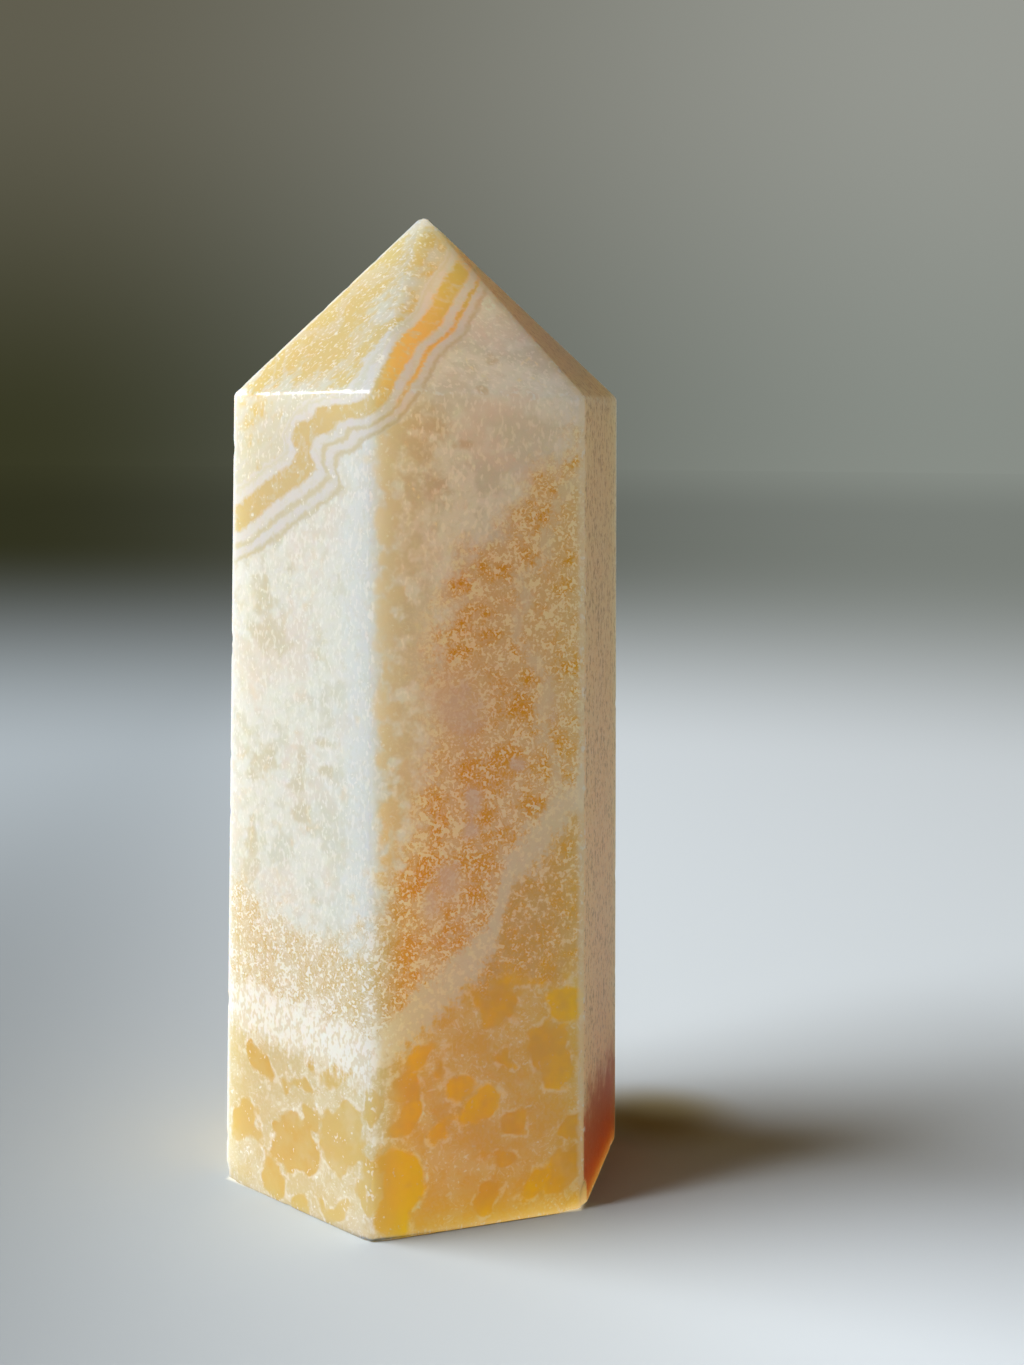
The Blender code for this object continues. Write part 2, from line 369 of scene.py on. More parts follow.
class StageSizes(bpy.types.PropertyGroup):
    """The camera, the light, and the tones of the floor and the backdrop."""

    camera_distance: length_setting(
        "Camera distance", "From the stone's axis to the camera, level", 0.179103,
    )
    camera_height: length_setting(
        "Camera height", "Above the surface that the stone stands on", 0.069141,
    )
    camera_azimuth: turn_setting(
        "Camera azimuth", "From the front towards the right", math.radians(-19.664),
    )
    camera_turn: turn_setting(
        "Camera turn", "From the stone's axis towards the right", math.radians(2.5726),
    )
    camera_pitch: turn_setting("Camera pitch", "Below level", math.radians(7.07494))
    camera_roll: turn_setting("Camera roll", "Anticlockwise", math.radians(0.49407))
    window_turn: turn_setting("Window turn", "From the camera towards the right", math.radians(-86))
    window_rise: turn_setting("Window rise", "Above level", math.radians(36))
    window_distance: length_setting("Window distance", "From the stone", 1.6)
    window_width: length_setting("Window width", "Width of the soft light", 1.45)
    window_height: length_setting("Window height", "Height of the soft light", 1.0)
    window_power: FloatProperty(
        name="Window power", description="Power of the soft light", default=41.0, unit="POWER",
    )
    window_colour: colour_setting("Window colour", "Colour of the soft light", (0.97, 0.99, 1.0))
    floor_light: colour_setting(
        "Floor, light side", "The pale floor on its lighter side", (0.8, 0.87, 0.93),
    )
    floor_shade: colour_setting(
        "Floor, shaded side", "The pale floor on its darker side", (0.285, 0.31, 0.33),
    )
    floor_shade_far: colour_setting(
        "Floor, far shaded side", "The same farther back", (0.47, 0.53, 0.58),
    )
    floor_warm: colour_setting(
        "Floor in the stone's shade", "The floor beside the foot, warmed by light that went through it",
        (0.5, 0.44, 0.26),
    )
    floor_lift: colour_setting(
        "Floor, near and light", "Light added to the floor near the camera on the lighter side",
        (0.085, 0.095, 0.11),
    )
    floor_glow: colour_setting(
        "Floor under the stone", "The light that the stone lets through onto the floor under it",
        (0.45, 0.38, 0.26),
    )
    backdrop_light: colour_setting(
        "Backdrop, light side", "The backdrop low down on the lighter side", (0.25, 0.272, 0.245),
    )
    backdrop_shade: colour_setting(
        "Backdrop, shaded side", "The backdrop low down on the darker side", (0.039, 0.04, 0.018),
    )
    backdrop_high_light: colour_setting(
        "Backdrop, high light side", "The backdrop high up on the lighter side", (0.31, 0.32, 0.29),
    )
    backdrop_high_shade: colour_setting(
        "Backdrop, high shaded side", "The backdrop high up on the darker side", (0.118, 0.111, 0.078),
    )
    room: colour_setting("Room", "The soft light from behind the camera", (0.6, 0.4, 0.2))
    overhead: colour_setting("Overhead", "The dim light from straight above", (0.02, 0.015, 0.006))


class Wire:
    """A value in a material. Arithmetic on it adds the Math nodes that the sum needs."""

    def __init__(self, graph, socket):
        self.graph = graph
        self.socket = socket

    def __add__(self, other):
        return self.graph.math("ADD", self, other)

    __radd__ = __add__

    def __sub__(self, other):
        return self.graph.math("SUBTRACT", self, other)

    def __rsub__(self, other):
        return self.graph.math("SUBTRACT", other, self)

    def __mul__(self, other):
        return self.graph.math("MULTIPLY", self, other)

    __rmul__ = __mul__

    def __truediv__(self, other):
        return self.graph.math("DIVIDE", self, other)

    def __rtruediv__(self, other):
        return self.graph.math("DIVIDE", other, self)


class Graph:
    """The nodes of one material, or of the world."""

    def __init__(self, tree):
        self.tree = tree
        self.shader = tree.nodes.get("Principled BSDF")

    def fill(self, socket, value):
        """Links a wire to a socket, or writes a plain value on it."""
        if isinstance(value, Wire):
            self.tree.links.new(value.socket, socket)
        elif hasattr(value, "__len__") and len(value) == 3 and len(socket.default_value) == 4:
            socket.default_value = (*value, 1.0)
        else:
            socket.default_value = value

    def node(self, kind, settings=None, inputs=None, output=0):
        """Adds a node: its settings first, then its sockets by name or number."""
        made = self.tree.nodes.new(kind)
        for name, value in (settings or {}).items():
            setattr(made, name, value)
        for name, value in (inputs or {}).items():
            self.fill(made.inputs[name], value)
        return Wire(self, made.outputs[output])

    def set(self, name, value):
        self.fill(self.shader.inputs[name], value)

    def math(self, operation, *values):
        settings = {"operation": operation}
        return self.node("ShaderNodeMath", settings, dict(enumerate(values)))

    def vector_math(self, operation, *values, output=0, **inputs):
        settings = {"operation": operation}
        return self.node("ShaderNodeVectorMath", settings, {**dict(enumerate(values)), **inputs}, output)

    def coordinates(self, name):
        return self.node("ShaderNodeTexCoord", output=name)

    def dot(self, vector, direction):
        return self.vector_math("DOT_PRODUCT", vector, direction, output="Value")

    def length(self, vector):
        return self.vector_math("LENGTH", vector, output="Value")

    def flat(self, vector):
        return self.vector_math("MULTIPLY", vector, (1.0, 1.0, 0.0))

    def part(self, vector, axis):
        return self.node("ShaderNodeSeparateXYZ", None, {0: vector}, output=axis)

    def attribute(self, name):
        """One of the stone's fields, stored on its mesh."""
        return self.node("ShaderNodeAttribute", {"attribute_name": name}, output="Fac")

    def scaled(self, vector, scale):
        return self.vector_math("SCALE", vector, Scale=scale)

    def shifted(self, vector, step):
        return self.vector_math("ADD", vector, step)

    def noise(self, place, scale, detail=2.0, roughness=0.5):
        """Soft noise about 0: the node's own value less a half."""
        inputs = {"Vector": place, "Scale": scale, "Detail": detail, "Roughness": roughness}
        return self.node("ShaderNodeTexNoise", None, inputs, "Fac") - 0.5

    def moved(self, place, scale, amount):
        """The place moved about by soft noise, by up to this amount."""
        inputs = {"Vector": place, "Scale": scale, "Detail": 0.0}
        noise = self.node("ShaderNodeTexNoise", None, inputs, "Color")
        return self.vector_math("MULTIPLY_ADD", noise, (amount, amount, amount), place)

    def cell_colour(self, place, scale):
        """A colour picked at random for each of the grains that fill the space."""
        return self.node("ShaderNodeTexVoronoi", None, {"Vector": place, "Scale": scale}, "Color")

    def needles(self, place, grain, fineness):
        """Short strokes: noise stretched along a direction that each crystal grain turns at random.

        The grains are Voronoi cells, and each cell's random colour is its turn.
        """
        turn = self.scaled(self.cell_colour(place, grain), math.tau)
        settings = {"rotation_type": "EULER_XYZ"}
        turned = self.node("ShaderNodeVectorRotate", settings, {"Vector": place, "Rotation": turn})
        drawn_out = self.vector_math("MULTIPLY", turned, (0.2, 1.0, 1.0))
        return self.noise(drawn_out, fineness, detail=1.0)

    def smooth(self, value, low, high):
        """0 below low, 1 above high, and a smooth step between them; high may be below low."""
        if high < low:
            return 1.0 - self.smooth(value, high, low)
        inputs = {"Value": value, "From Min": low, "From Max": high}
        return self.node("ShaderNodeMapRange", {"interpolation_type": "SMOOTHSTEP"}, inputs)

    def mix(self, share, first, second, blend="MIX"):
        """Mixes two colours."""
        settings = {"data_type": "RGBA", "blend_type": blend, "clamp_factor": True}
        return self.node("ShaderNodeMix", settings, {0: share, 6: first, 7: second}, output=2)


def corners(angles_and_radii, heights):
    """Six corners as an array, from angles in degrees and radii and heights in millimetres."""
    angles, radii = np.array(angles_and_radii).T
    turns = np.radians(angles)
    heights = np.broadcast_to(heights, radii.shape)
    return np.stack([radii * np.sin(turns), -radii * np.cos(turns), heights], axis=-1) * MILLIMETRE


def toward(start, end, length):
    """The places at a length from each start towards its end."""
    step = end - start
    return start + step * length / np.linalg.norm(step, axis=-1, keepdims=True)


def eased(before, turn, after, length, steps):
    """Rounds each turn: (1-t)^2 start + 2t(1-t) turn + t^2 end, for each step t.

    start and end lie on the two straight runs at the given length from the turn. The steps
    are a new axis before the last.
    """
    start = toward(turn, before, length)[..., None, :]
    end = toward(turn, after, length)[..., None, :]
    t = steps[:, None]
    return (1 - t) ** 2 * start + 2 * t * (1 - t) * turn[..., None, :] + t ** 2 * end


def straight(start, end, steps):
    """start + t (end - start) for each step t, which is a new axis before the last."""
    return start[..., None, :] + steps[:, None] * (end - start)[..., None, :]


def bulge(steps):
    """4t(1-t): the share of the crown at each step across a face."""
    return 4 * steps * (1 - steps)


def corner_lines(sizes, side_rows, facet_rows, ease_rows):
    """The six corner lines from the base to the tip, as rows of six corners, and the crown.

    Each line is the run base, shoulder, point with its turns rounded by eased. Over the tip
    it is a + (1-2t)(b-a) level and a + (1-2t(1-t))(b-a) upright, where a is the point and b
    the place at the tip's ease from it, so the six lines meet in a dome at t = 1/2.
    """
    base = corners(BASE_CORNERS, 0.0)
    shoulder = corners(SHOULDER_CORNERS, SHOULDER_HEIGHTS)
    point = np.broadcast_to(np.array(POINT) * MILLIMETRE, base.shape)
    middle = np.zeros_like(base)
    ease = np.linspace(0, 1, ease_rows)
    knee_steps = np.linspace(0, 1, KNEE_ROWS)
    side = np.linspace(0, 1, side_rows)
    facet = np.linspace(0, 1, facet_rows)
    foot = eased(middle, base, shoulder, sizes.edge_ease, ease)
    knee = eased(base, shoulder, point, sizes.shoulder_ease, knee_steps)
    brow = toward(point, shoulder, sizes.tip_ease)
    t = np.linspace(0, LAST_TIP_STEP, ease_rows)[:, None]
    reach = (brow - point)[:, None, :]
    shrink = np.concatenate([1 - 2 * t, 1 - 2 * t, 1 - 2 * t * (1 - t)], axis=1)
    tip = point[:, None, :] + reach * shrink
    runs = [
        (foot, np.zeros(ease_rows)),
        (straight(foot[:, -1], knee[:, 0], side)[:, 1:-1], bulge(side)[1:-1]),
        (knee, np.zeros(KNEE_ROWS)),
        (straight(knee[:, -1], brow, facet)[:, 1:-1], bulge(facet)[1:-1]),
        (tip, np.zeros(ease_rows)),
    ]
    lines = np.concatenate([run for run, share in runs], axis=1)
    shares = np.concatenate([share for run, share in runs])
    return lines.swapaxes(0, 1), shares


def stone_rings(sizes, side_rows=200, facet_rows=60, ease_rows=5, side_columns=47, arc_columns=5):
    """The stone's surface as rows of rings: rounded six-sided sections up the corner lines.

    Along a side at step t a section is a straight run plus outward * crown * 4t(1-t), and
    at each corner it is rounded by eased.
    """
    lines, shares = corner_lines(sizes, side_rows, facet_rows, ease_rows)
    before, after = np.roll(lines, 1, axis=1), np.roll(lines, -1, axis=1)
    span = np.linalg.norm(after - lines, axis=-1).min(axis=1)
    ease = np.minimum(sizes.edge_ease, span / 4)[:, None, None]
    arc_steps = np.linspace(0, 1, arc_columns)
    arcs = eased(before, lines, after, ease, arc_steps)
    side_steps = np.linspace(0, 1, side_columns + 2)[1:-1]
    start, end = arcs[:, :, -1], np.roll(arcs[:, :, 0], -1, axis=1)
    run = straight(start, end, side_steps)
    along = end - start
    outward = np.stack([along[..., 1], -along[..., 0], np.zeros_like(along[..., 0])], axis=-1)
    outward /= np.linalg.norm(outward, axis=-1, keepdims=True)
    lift = sizes.crown * shares[:, None, None, None] * bulge(side_steps)[:, None]
    run = run + outward[:, :, None, :] * lift
    rings = np.concatenate([arcs, run], axis=2)
    return rings.reshape(len(rings), -1, 3)


def closed_mesh(name, rings):
    """Joins rings of points into a closed mesh, with a pole under the first and over the last."""
    rows, columns = rings.shape[:2]
    low_pole = rings[0].mean(axis=0)
    high_pole = rings[-1].mean(axis=0)
    high_pole[2] = rings[-1][:, 2].max()
    points = np.concatenate([rings.reshape(-1, 3), [low_pole, high_pole]])
    index = np.arange(rows * columns).reshape(rows, columns)
    turned = np.roll(index, -1, axis=1)
    quads = np.stack([index[:-1], turned[:-1], turned[1:], index[1:]], axis=-1).reshape(-1, 4)
    low_fan = np.stack([turned[0], index[0], np.full(columns, rows * columns)], axis=-1)
    high_fan = np.stack([index[-1], turned[-1], np.full(columns, rows * columns + 1)], axis=-1)
    mesh = bpy.data.meshes.new(name)
    mesh.from_pydata(points.tolist(), [], quads.tolist() + low_fan.tolist() + high_fan.tolist())
    mesh.shade_smooth()
    mesh.update()
    return mesh


def mesh_places(mesh):
    """The mesh's points as an array."""
    places = np.empty(len(mesh.vertices) * 3, dtype=np.float32)
    mesh.vertices.foreach_get("co", places)
    return places.reshape(-1, 3).astype(float)


def along(places, turn):
    """How far each place lies in the level direction at this turn from +X."""
    return places[:, 0] * math.cos(turn) + places[:, 1] * math.sin(turn)


def read_off(table, values):
    """Straight lines between the points of a short table, level beyond its ends."""
    at, value = np.array(table).T
    return np.interp(values, at, value)


def growth_level(places):
    """Which growth sheet a place lies on: height + slope . (x, y) - wiggle, across the sheets.

    The wiggle is read at s + level - lean level, because its folds lean over, and the level
    is found by three rounds from a start without the wiggle.
    """
    steep = math.sqrt(1 + BAND_SLOPE[0] ** 2 + BAND_SLOPE[1] ** 2)
    height = places[:, 2] + BAND_SLOPE[0] * places[:, 0] + BAND_SLOPE[1] * places[:, 1]
    level = height / steep
    for _ in range(3):
        lean = np.clip(level - BAND_LEAN_LEVEL, *BAND_LEAN_RANGE)
        level = (height - read_off(BAND_WIGGLE, along(places, BAND_TURN) + lean)) / steep
    return level


def vein_height(places):
    """How far a place lies above the middle of the broad vein, measured across the vein."""
    steep = math.sqrt(1 + VEIN_SLOPE[0] ** 2 + VEIN_SLOPE[1] ** 2)
    middle = VEIN_HEIGHT + VEIN_SLOPE[0] * places[:, 0] + VEIN_SLOPE[1] * places[:, 1]
    middle = middle + read_off(VEIN_WIGGLE, along(places, VEIN_TURN))
    return (places[:, 2] - middle) / steep


def line_distance(flat_places, line):
    """The distance from each flat place to the nearest of a line's straight runs."""
    line = np.array(line)
    nearest = np.full(len(flat_places), np.inf)
    for start, end in zip(line[:-1], line[1:]):
        run = end - start
        step = np.clip((flat_places - start) @ run / (run @ run), 0, 1)
        nearest = np.minimum(nearest, np.linalg.norm(flat_places - start - step[:, None] * run, axis=1))
    return nearest


def nearest_spot(places, spots):
    """How deep each place lies in its nearest spot: 1 at the middle, 0 at the rim, less outside.

    A spot is an ellipsoid, level all round, from its place, half width and half height.
    """
    spots = np.array(spots)
    level = np.linalg.norm(places[:, None, :2] - spots[:, :2], axis=-1) / spots[:, 3]
    upright = np.abs(places[:, None, 2] - spots[:, 2]) / spots[:, 4]
    return (1 - np.hypot(level, upright)).max(axis=1)


def crystal_depth(places, crystals):
    """How far each place lies inside a crystal, in millimetres, and which crystal it is.

    A crystal is a rounded block: (1 - (level^3 + upright^3)^(1/3)) * its smaller half size. Where
    two overlap, each stops halfway at a wall, where the depth is half the difference of both. The
    places are first moved by bend sin(waves (z, x, y)), so that the outlines bend.
    """
    crystals = np.array(crystals)
    places = places + CRYSTAL_BEND * np.sin(CRYSTAL_WAVES * np.roll(places, 1, axis=1))
    crystals[:, :3] += CRYSTAL_BEND * np.sin(CRYSTAL_WAVES * np.roll(crystals[:, :3], 1, axis=1))
    level = np.linalg.norm(places[:, None, :2] - crystals[:, :2], axis=-1) / crystals[:, 3]
    upright = np.abs(places[:, None, 2] - crystals[:, 2]) / crystals[:, 4]
    depth = (1 - np.cbrt(level ** 3 + upright ** 3)) * crystals[:, 3:5].min(axis=1)
    nearest = depth.argmax(axis=1)
    deepest = depth.max(axis=1)
    np.put_along_axis(depth, nearest[:, None], -np.inf, axis=1)
    return np.minimum(deepest, (deepest - depth.max(axis=1)) / 2), nearest


def edge_lines():
    """The stone's edges in millimetres: six up to the point, and the rings round base and shoulder."""
    base = corners(BASE_CORNERS, 0.0) / MILLIMETRE
    shoulder = corners(SHOULDER_CORNERS, SHOULDER_HEIGHTS) / MILLIMETRE
    rising = [np.stack([low, high, np.array(POINT)]) for low, high in zip(base, shoulder)]
    return rising + [np.concatenate([ring, ring[:1]]) for ring in (base, shoulder)]


def corner_line(i, heights, middle):
    """The level places of one corner line at these heights, in millimetres."""
    base = corners(BASE_CORNERS, 0.0)[i] / MILLIMETRE
    shoulder = corners(SHOULDER_CORNERS, SHOULDER_HEIGHTS)[i] / MILLIMETRE
    line = np.array([base, shoulder, POINT]) - middle
    return np.stack([np.interp(heights, line[:, 2], line[:, axis]) for axis in (0, 1)], axis=-1)


def side_depth(places, i, middle):
    """How far each place lies behind the stone's side i, or the facet over it, measured level.

    The side runs between its two corner lines, read off at the place's own height.
    """
    first, second = corner_line(i, places[:, 2], middle), corner_line(i + 1, places[:, 2], middle)
    run = second - first
    inward = np.stack([-run[:, 1], run[:, 0]], axis=-1) / np.linalg.norm(run, axis=-1, keepdims=True)
    return ((places[:, :2] - first) * inward).sum(axis=-1)


def on_front(spots):
    """Spots given across and up the front, with the depth of the front added."""
    return [(across, FRONT_DEPTH, up, *rest) for across, up, *rest in spots]


def scattered(places, chance, count, sizes, seed):
    """Seeded random spots on the surface: more of them where the chance is higher.

    Each is its place, half width, half height and depth of colour.
    """
    source = np.random.default_rng(seed)
    picked = source.choice(len(places), count, replace=False, p=chance / chance.sum())
    width, height = source.uniform(*sizes, (2, count))
    return np.column_stack([places[picked], width, height, source.uniform(*MORE_DEPTHS, count)])


def chipped(rings, middle):
    """Chips and nicks the edges, as shallow bowls with sharp rims.

    A place within a chip's reach moves towards the axis by depth * (1 - (distance / reach)^2).
    The nicks lie at seeded random places along the edges.
    """
    source = np.random.default_rng(NICK_SEED)
    lines = edge_lines()
    picked = source.integers(0, len(lines), NICK_COUNT)
    spots = []
    for line in (lines[i] for i in picked):
        i = source.integers(0, len(line) - 1)
        spots.append(line[i] + source.uniform() * (line[i + 1] - line[i]) - middle)
    reach, depth = source.uniform(*NICK_REACH, NICK_COUNT), source.uniform(*NICK_DEPTH, NICK_COUNT)
    chips = np.concatenate([CHIPS, np.column_stack([spots, reach, depth])])
    points = rings / MILLIMETRE
    inward = -points[..., :2] / np.linalg.norm(points[..., :2], axis=-1, keepdims=True)
    moved = np.zeros(points.shape[:-1])
    for x, y, z, reach, depth in chips:
        distance = np.linalg.norm(points - (x, y, z), axis=-1)
        moved = np.maximum(moved, depth * np.clip(1 - (distance / reach) ** 2, 0, 1))
    points[..., :2] += inward * moved[..., None]
    return points * MILLIMETRE


def stone_fields(places, middle):
    """The stone's marks at each place on its surface, in millimetres or as shares."""
    growth = growth_level(places)
    vein = vein_height(places)
    flat = places[:, [0, 2]] + (places[:, 1:2] - FRONT_DEPTH) * THIN_VEIN_LEAN
    below_edge = read_off(GRANULAR_EDGE, places[:, 0]) - places[:, 2]
    granular = np.sign(below_edge) * line_distance(places[:, [0, 2]], GRANULAR_EDGE)
    lit = side_depth(places, 0, middle)
    other_sides = 1.0 * ((places[:, 1] > OTHER_SIDES_FROM) & (lit > LIT_SIDE_MARGIN))
    foot = other_sides * np.clip(-vein, 0, 1)
    grains = other_sides * np.clip(granular, 0, 1) * np.clip(vein, 0, 1)
    more_crystals = scattered(places, foot, MORE_CRYSTALS, MORE_CRYSTAL_SIZES, CRYSTAL_SEED)
    more_patches = scattered(places, grains, MORE_PATCHES, MORE_PATCH_SIZES, PATCH_SEED)
    crystals = np.concatenate([AMBER_CRYSTALS, more_crystals])
    patches = np.concatenate([on_front(ORANGE_PATCHES), more_patches[:, :5]])
    amber, which = crystal_depth(places, crystals)
    cracks = np.min([line_distance(places[:, [0, 2]], line) for line in HEALED_CRACKS], axis=0)
    lean = FACET_LEAN * np.clip(places[:, 2] - FACET_START, 0, None)
    cracks[places[:, 1] > FRONT_DEPTH + CRACK_REACH + lean] += CRACK_REACH
    # Distances from the front corner and from the lit side's back corner: they place the bluish strip with
    # its painted highlight, and the painted rim highlight
    ridge = np.linalg.norm(places[:, :2] - corner_line(1, places[:, 2], middle), axis=1)
    rim = np.linalg.norm(places[:, :2] - corner_line(0, places[:, 2], middle), axis=1)
    return {
        "growth": growth,
        "vein": vein,
        "thin_vein": line_distance(flat, THIN_VEIN),
        "granular": granular,
        "amber": amber,
        "amber_depth": crystals[which, 5],
        "orange": nearest_spot(places, patches),
        "milky": nearest_spot(places, on_front(MILKY_CLOTS)),
        "tan": nearest_spot(places, TAN_PATCHES),
        "smoke": nearest_spot(places, SMOKY_PATCHES),
        "crack": cracks,
        "lit": lit,
        "right": side_depth(places, 2, middle),
        "ridge": ridge,
        "rim": rim,
        "edge": np.min([line_distance(places + middle, line) for line in edge_lines()], axis=0),
    }


class Grain:
    """The crystal grain that all the stone's colours share.

    broad, middle and fine are soft noise about 0, and grit is the finest. crystal differs from one
    crystal grain to the next, about 0. sand is soft noise with much fine grain in it. strokes are
    short straight needles, curls short bent ones, and glints small bright spots. shape bends the
    crystals of the foot, streaks run upright, sugar is the grain of the white, and inside grows
    from 0 on the lit side to 1 on the others, to share between each colour's lit copy and its copy
    painted for the shaded sides, warmer as if lit by light come through the stone. Scales are in
    waves per millimetre, and the shifts keep one noise from looking like another.
    """

    def __init__(self, graph, place):
        self.graph = graph
        self.place = place
        self.broad = graph.noise(place, 0.35)
        self.middle = graph.noise(place, 0.8, roughness=0.6)
        self.fine = graph.noise(place, 1.9, detail=1.0, roughness=0.6)
        self.grit = graph.noise(graph.shifted(place, (7.0, 1.0, 5.0)), 3.6, detail=0.5)
        moved = graph.moved(place, 1.3, 1.2)
        self.crystal = graph.part(graph.cell_colour(moved, 1.35), "X") - 0.5
        self.sand = graph.noise(graph.shifted(place, (1.0, 6.0, 9.0)), 1.5, roughness=0.78)
        self.strokes = graph.smooth(graph.needles(place, 1.2, 4.6), 0.05, 0.15)
        bends = graph.math("ABSOLUTE", graph.noise(graph.shifted(moved, (3.0, 8.0, 1.0)), 1.5, detail=1.0))
        self.curls = graph.smooth(bends, 0.05, 0.01) * graph.smooth(self.fine, -0.02, 0.06)
        self.glints = graph.smooth(self.grit + 0.9 * self.fine + 0.9 * self.middle, 0.30, 0.40)
        self.shape = graph.noise(graph.shifted(place, (2.0, 9.0, 4.0)), 0.55, detail=1.0)
        upright = graph.vector_math("MULTIPLY", place, (2.6, 2.6, 0.3))
        self.streaks = graph.noise(upright, 1.0, roughness=0.65)
        sugar = graph.vector_math("MULTIPLY", place, (2.6, 2.6, 1.5))
        self.sugar = graph.noise(sugar, 1.0, detail=1.0, roughness=0.6)
        self.inside = graph.smooth(graph.attribute("lit"), 0.0, 3.5)

    def tone(self, lit, inside):
        """A colour that goes over from its lit copy on the lit side to its copy painted for the shaded
        sides, warmer as if lit by light come through the stone.
        """
        return self.graph.mix(self.inside, lit, inside)


def milk_colour(graph, grain, colours):
    """The white mass: clouds of clearer and pinkish white, tan and smoky patches and sugar grain."""
    cloud = graph.noise(grain.place, 0.2, roughness=0.6)
    blush = graph.noise(graph.shifted(grain.place, (31.0, 7.0, 3.0)), 0.16, detail=1.0)
    clear = graph.smooth(cloud + 0.6 * grain.middle, -0.06, 0.16)
    colour = graph.mix(clear, colours.milk, colours.milk_clear)
    colour = graph.mix(graph.smooth(blush + 0.4 * grain.middle, 0.0, 0.16) * 0.8, colour, colours.milk_pink)
    # Partly painted highlight: the whiter strip beside the front corner of the lit side also stands in for
    # that corner's highlight
    frost_and_sheen = graph.smooth(graph.attribute("ridge") + 6.0 * grain.broad + 2.0 * grain.streaks, 5.0, 2.0)
    colour = graph.mix(frost_and_sheen * graph.smooth(graph.attribute("lit"), 1.0, 0.1) * 0.85, colour, colours.frost_and_sheen)
    tan = graph.math("MAXIMUM", graph.attribute("tan"), -1.2) + 2.2 * grain.middle + 2.0 * cloud
    colour = graph.mix(graph.smooth(tan, -0.5, 0.6) * 0.7, colour, colours.tan)
    smoke = graph.attribute("smoke") + 2.0 * grain.middle + 1.0 * grain.broad
    colour = graph.mix(graph.smooth(smoke, -0.1, 0.7) * 0.75, colour, colours.smoke)
    clear_grains = graph.smooth(grain.crystal + 1.5 * grain.fine, 0.1, 0.5)
    colour = graph.mix(clear_grains * 0.35, colour, colours.milk_clear)
    colour = graph.mix(graph.smooth(grain.sugar, 0.03, 0.16) * 0.45, colour, colours.bright)
    return graph.mix(grain.curls * graph.smooth(cloud, 0.1, -0.05) * 0.2, colour, colours.bright)


def cream_colour(graph, grain, growth, colours):
    """The granular cream above the bands, with honey patches and faint lines along the bands."""
    patch = graph.noise(graph.shifted(grain.place, (5.0, 19.0, 11.0)), 0.13, detail=1.0)
    patch = patch + 0.25 * graph.smooth(graph.part(grain.place, "Z"), 71.0, 76.0) - 0.12
    colour = graph.mix(graph.smooth(patch + 0.6 * grain.middle, -0.04, 0.2), colours.cream, colours.honey)
    line = graph.math("SINE", 4.2 * growth + 5.0 * grain.broad)
    colour = graph.mix(graph.smooth(line, 0.3, 1.0) * 0.3, colour, colours.band_white)
    return graph.mix(graph.smooth(grain.sugar + 0.5 * grain.grit, 0.06, 0.2) * 0.4, colour, colours.bright)


def band_colour(graph, grain, growth, colours, orange, thin):
    """The growth bands as a ramp across the sheets, clouded with cream."""
    level = (growth - BAND_LOW) / (BAND_HIGH - BAND_LOW)
    ramp = graph.node("ShaderNodeValToRGB", None, {"Fac": level}, "Color")
    tones = {"white": colours.band_white, "tan": colours.tan, "cream": colours.cream}
    tones.update(orange=orange, thin=thin)
    stops = ramp.socket.node.color_ramp.elements
    while len(stops) < len(BAND_STOPS):
        stops.new(0.5)
    for stop, (level, tone) in zip(stops, BAND_STOPS):
        stop.position = (level - BAND_LOW) / (BAND_HIGH - BAND_LOW)
        stop.color = (*tones[tone], 1.0)
    return graph.mix(graph.smooth(grain.middle + 0.6 * grain.fine, -0.02, 0.2) * 0.45, ramp, colours.cream)


def granular_colour(graph, grain, colours):
    """The granular part: orange grains and pink clots in a paler ground, with pale flecks over them."""
    patch = graph.noise(grain.place, 0.42, roughness=0.62)
    near = graph.math("MAXIMUM", graph.attribute("orange"), -0.8)
    deeper = graph.smooth(graph.part(grain.place, "Z"), 66.0, 30.0)
    orange = 0.9 * near + 3.4 * patch + 0.5 * grain.crystal
    orange = orange + 4.5 * grain.sand + 2.0 * grain.grit + 0.95 * deeper - 0.4
    # Painted light: lit copies on the lit side, and copies painted for the shade on the other sides
    ground = grain.tone(colours.ground_lit, colours.ground)
    full = grain.tone(colours.orange_lit, colours.orange)
    pale = grain.tone(colours.bright, colours.needle)
    colour = graph.mix(graph.smooth(orange, -1.15, 0.75), ground, full)
    flecks = graph.smooth(grain.grit + 1.6 * grain.sand - 0.5 * patch, 0.09, 0.15)
    colour = graph.mix(flecks * 0.8, colour, pale)
    colour = graph.mix(grain.curls * 0.55, colour, pale)
    strokes = grain.strokes * graph.smooth(grain.sand + grain.middle, -0.12, 0.12)
    colour = graph.mix(strokes * (0.25 + 0.25 * grain.inside), colour, pale)
    clot = graph.attribute("milky") + 1.6 * patch + 1.6 * grain.sand
    return graph.mix(graph.smooth(clot, -0.2, 0.7) * 0.75, colour, colours.clot)


